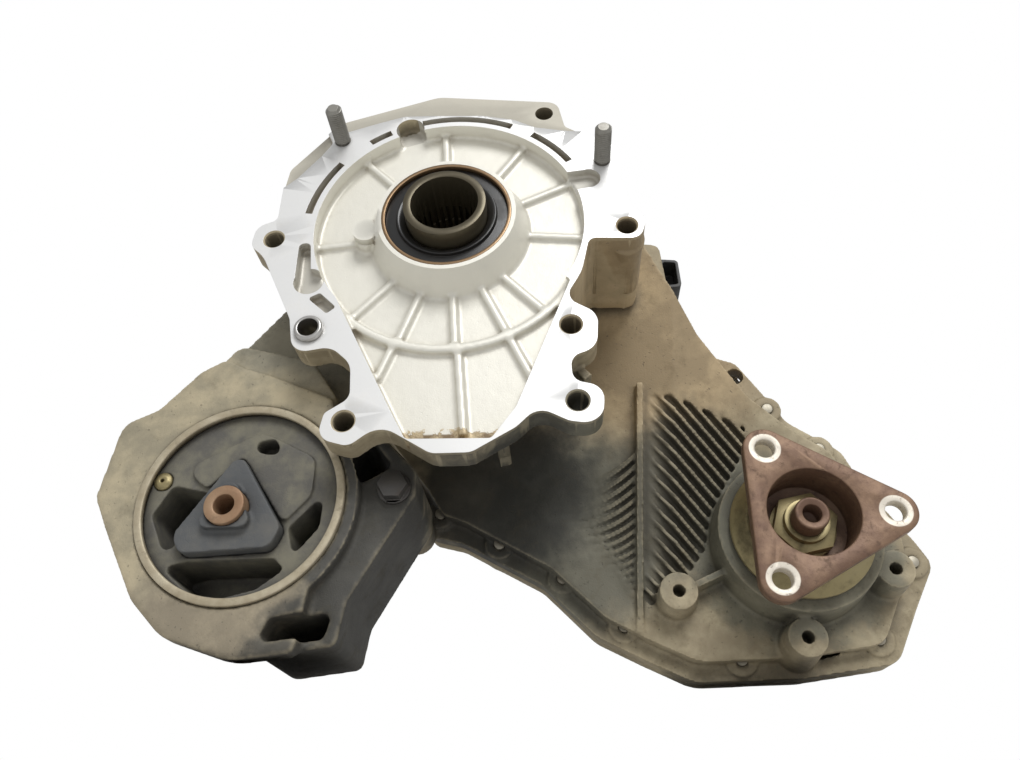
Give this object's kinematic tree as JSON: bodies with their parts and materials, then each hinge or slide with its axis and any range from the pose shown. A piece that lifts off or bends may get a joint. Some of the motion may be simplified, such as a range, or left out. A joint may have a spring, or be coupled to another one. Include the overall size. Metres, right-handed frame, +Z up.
{
  "type": "transfer case",
  "caption": "Transfer case: round gearbox flange, finned chain case, three-arm front output flange, rear output and a side bracket with a rubber bush.",
  "frame": {"origin": "centre of the input bore on the gearbox mounting face", "axes": "+Y along the main shaft to the rear, +Z up, +X towards the front output"},
  "size_m": [0.552, 0.276, 0.4138],
  "materials": {
    "bolt_steel": "dull plated",
    "bracket": "as cast, stained",
    "cast": "as cast, dusty",
    "dark_steel": "phosphated, oily",
    "gear_steel": "ground",
    "plastic": "matt black",
    "plated": "yellow passivated zinc",
    "ring_worn": "worn, lightly rusted",
    "rubber": "matt",
    "rust": "even brown surface rust",
    "seal_case": "brown seal case",
    "sleeve_rust": "rusty",
    "steel": "machined"
  },
  "bodies": {
    "case": {"front_housing": "cast", "rear_housing": "cast", "mount_bracket": "bracket", "bush_sleeve": "ring_worn", "bush_rubber": "rubber", "bush_core": "dark_steel", "bush_core_sleeve": "sleeve_rust", "bush_fill_plug": "plated", "case_bolts": "bolt_steel", "bracket_bolts": "bolt_steel", "flange_studs": "dark_steel", "dowel_sleeve": "steel", "drain_plug": "bolt_steel", "fill_plug": "bolt_steel", "breather": "plated", "input_seal_case": "seal_case", "input_seal_lip": "rubber", "input_bearing_outer_ring": "steel", "input_bearing_balls": "steel", "reduction_ring_gear": "gear_steel", "actuator_motor": "dark_steel", "actuator_cover": "plastic", "actuator_connector": "plastic", "rear_bearing_outer_ring": "steel", "rear_bearing_balls": "steel", "rear_output_seal": "rubber", "front_bearing_outer_ring": "steel", "front_bearing_balls": "steel", "tail_bearing_outer_ring": "steel", "tail_bearing_balls": "steel", "front_output_seal": "rubber", "drive_chain": "dark_steel"},
    "input": {"input_shaft": "gear_steel", "input_bearing_inner_ring": "steel"},
    "reduction_carrier": {"reduction_carrier": "gear_steel", "reduction_planet_pins": "steel"},
    "planet_1": {"reduction_planet_1": "gear_steel"},
    "planet_2": {"reduction_planet_2": "gear_steel"},
    "planet_3": {"reduction_planet_3": "gear_steel"},
    "planet_4": {"reduction_planet_4": "gear_steel"},
    "differential": {"differential_case": "gear_steel", "differential_cover": "gear_steel", "differential_planets": "gear_steel", "differential_pins": "steel"},
    "range_sleeve": {"shift_sleeve": "gear_steel"},
    "shifter": {"shift_fork": "dark_steel", "shift_rail": "steel"},
    "rear_output": {"differential_ring_gear": "gear_steel", "rear_output_shaft": "steel", "rear_bearing_inner_ring": "steel", "rear_output_flange": "rust", "rear_flange_nut": "plated"},
    "drive": {"drive_sprocket": "gear_steel"},
    "front_output": {"driven_sprocket": "gear_steel", "front_output_shaft": "rust", "front_bearing_inner_ring": "steel", "tail_bearing_inner_ring": "steel", "dust_deflector": "plated", "output_flange": "rust", "flange_nut": "plated"}
  },
  "joints": [
    {"name": "input_spin", "type": "hinge", "parent": "case", "child": "input", "pos_m": [0, 0, 0], "axis": [0, 1, 0], "continuous": true},
    {"name": "reduction_carrier_spin", "type": "hinge", "parent": "case", "child": "reduction_carrier", "pos_m": [0, 0.042, 0], "axis": [0, 1, 0], "continuous": true},
    {"name": "differential_spin", "type": "hinge", "parent": "case", "child": "differential", "pos_m": [0, 0.1, 0], "axis": [0, 1, 0], "continuous": true},
    {"name": "rear_output_spin", "type": "hinge", "parent": "case", "child": "rear_output", "pos_m": [0, 0.187, 0], "axis": [0, 1, 0], "continuous": true},
    {"name": "drive_sprocket_spin", "type": "hinge", "parent": "case", "child": "drive", "pos_m": [0, 0.152, 0], "axis": [0, 1, 0], "continuous": true},
    {"name": "front_output_spin", "type": "hinge", "parent": "case", "child": "front_output", "pos_m": [0.2309, 0.121, -0.1941], "axis": [0, 1, 0], "continuous": true},
    {"name": "planet_1_spin", "type": "hinge", "parent": "reduction_carrier", "child": "planet_1", "pos_m": [0.045, 0.042, 0], "axis": [0, 1, 0], "continuous": true},
    {"name": "planet_2_spin", "type": "hinge", "parent": "reduction_carrier", "child": "planet_2", "pos_m": [0, 0.042, 0.045], "axis": [0, 1, 0], "continuous": true},
    {"name": "planet_3_spin", "type": "hinge", "parent": "reduction_carrier", "child": "planet_3", "pos_m": [-0.045, 0.042, 0], "axis": [0, 1, 0], "continuous": true},
    {"name": "planet_4_spin", "type": "hinge", "parent": "reduction_carrier", "child": "planet_4", "pos_m": [0, 0.042, -0.045], "axis": [0, 1, 0], "continuous": true},
    {"name": "range_shift", "type": "slide", "parent": "case", "child": "shifter", "axis": [0, -1, 0], "range_m": [0, 0.008]},
    {"name": "sleeve_slide", "type": "slide", "parent": "differential", "child": "range_sleeve", "axis": [0, -1, 0], "range_m": [0, 0.008]}
  ],
  "couplings": [
    {"joint": "reduction_carrier_spin", "follows": "input_spin", "ratio": 0.33333},
    {"joint": "differential_spin", "follows": "input_spin", "ratio": 1},
    {"joint": "rear_output_spin", "follows": "input_spin", "ratio": 1},
    {"joint": "drive_sprocket_spin", "follows": "input_spin", "ratio": 1},
    {"joint": "front_output_spin", "follows": "input_spin", "ratio": 1},
    {"joint": "sleeve_slide", "follows": "range_shift", "ratio": 1},
    {"joint": "planet_1_spin", "follows": "input_spin", "ratio": -1.3333},
    {"joint": "planet_2_spin", "follows": "input_spin", "ratio": -1.3333},
    {"joint": "planet_3_spin", "follows": "input_spin", "ratio": -1.3333},
    {"joint": "planet_4_spin", "follows": "input_spin", "ratio": -1.3333}
  ]
}
